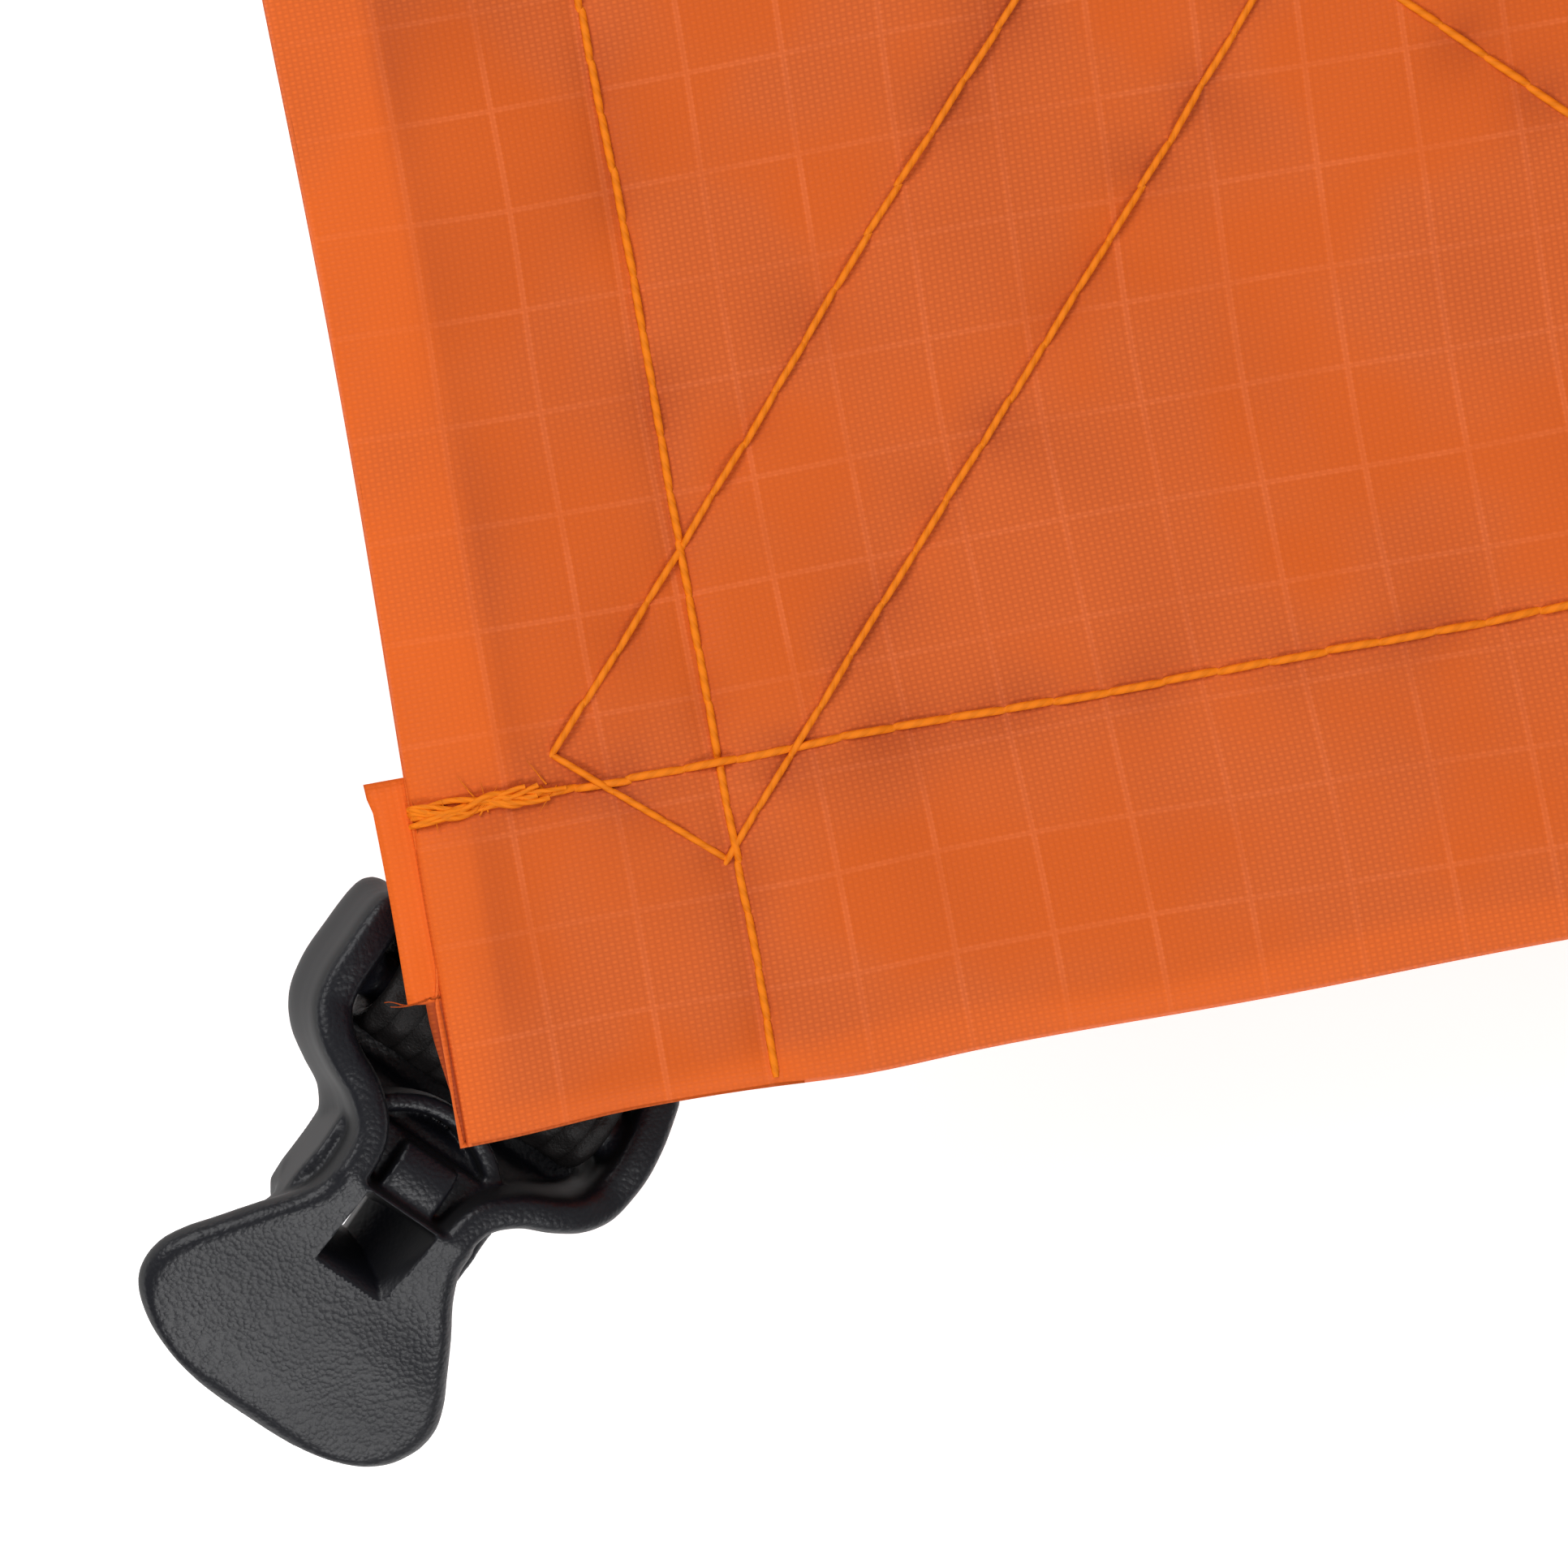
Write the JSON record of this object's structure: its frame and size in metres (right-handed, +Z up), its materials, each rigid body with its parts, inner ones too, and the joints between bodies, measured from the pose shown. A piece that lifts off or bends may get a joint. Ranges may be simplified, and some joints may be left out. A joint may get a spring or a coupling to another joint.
{
  "type": "stuff sack",
  "caption": "Flat-cut ripstop stuff sack with boxed bottom corners, webbing tie-outs with swinging cord adjusters, and a stiffened roll-top mouth with a side-release buckle.",
  "frame": {"origin": "middle of the plain face of the back panel that the sack rests on", "axes": "+Z up out of the front panel, +Y from the bottom edge to the mouth, +X across the sack"},
  "size_m": [0.361, 0.4551, 0.0593],
  "materials": {
    "ripstop": "coated ripstop weave, slightly translucent",
    "lining_cloth": "the same ripstop, turned in or behind",
    "webbing": "coarse woven black webbing",
    "thread": "bonded amber sewing thread",
    "stiffener": "plain flexible strip",
    "moulded_plastic": "moulded black plastic with a fine leather grain"
  },
  "bodies": {
    "sack": {"front_panel": "ripstop", "back_panel": "ripstop", "side_hem_left": "lining_cloth", "side_hem_right": "lining_cloth", "bottom_hem": "lining_cloth", "corner_patch_left": "lining_cloth", "corner_patch_right": "lining_cloth", "tie_web_left": "webbing", "tie_web_right": "webbing", "mouth_facing_front": "lining_cloth", "mouth_facing_back": "lining_cloth", "stiffener_front": "stiffener", "stiffener_back": "stiffener", "buckle_web_left": "webbing", "buckle_web_right": "webbing", "side_stitching": "thread", "bottom_stitching": "thread", "corner_stitching": "thread", "tie_stitching": "thread", "mouth_stitching": "thread", "buckle_stitching": "thread"},
    "left_adjuster": {"adjuster_left": "moulded_plastic"},
    "right_adjuster": {"adjuster_right": "moulded_plastic"},
    "socket": {"buckle_socket": "moulded_plastic"},
    "plug": {"buckle_plug": "moulded_plastic"}
  },
  "joints": [
    {"name": "left_adjuster_swing", "type": "hinge", "parent": "sack", "child": "left_adjuster", "pos_m": [-0.1382, -0.2157, 0.0194], "axis": [-0.675, 0.6774, 0.2924], "range_deg": [-50, 35]},
    {"name": "right_adjuster_swing", "type": "hinge", "parent": "sack", "child": "right_adjuster", "pos_m": [0.1382, -0.2157, 0.0194], "axis": [-0.675, -0.6774, -0.2924], "range_deg": [-50, 35]},
    {"name": "socket_swing", "type": "hinge", "parent": "sack", "child": "socket", "pos_m": [-0.153, 0.208, 0.013], "axis": [0, 1, 0], "range_deg": [-20, 95]},
    {"name": "plug_swing", "type": "hinge", "parent": "sack", "child": "plug", "pos_m": [0.153, 0.208, 0.013], "axis": [0, -1, 0], "range_deg": [-14, 95]}
  ]
}
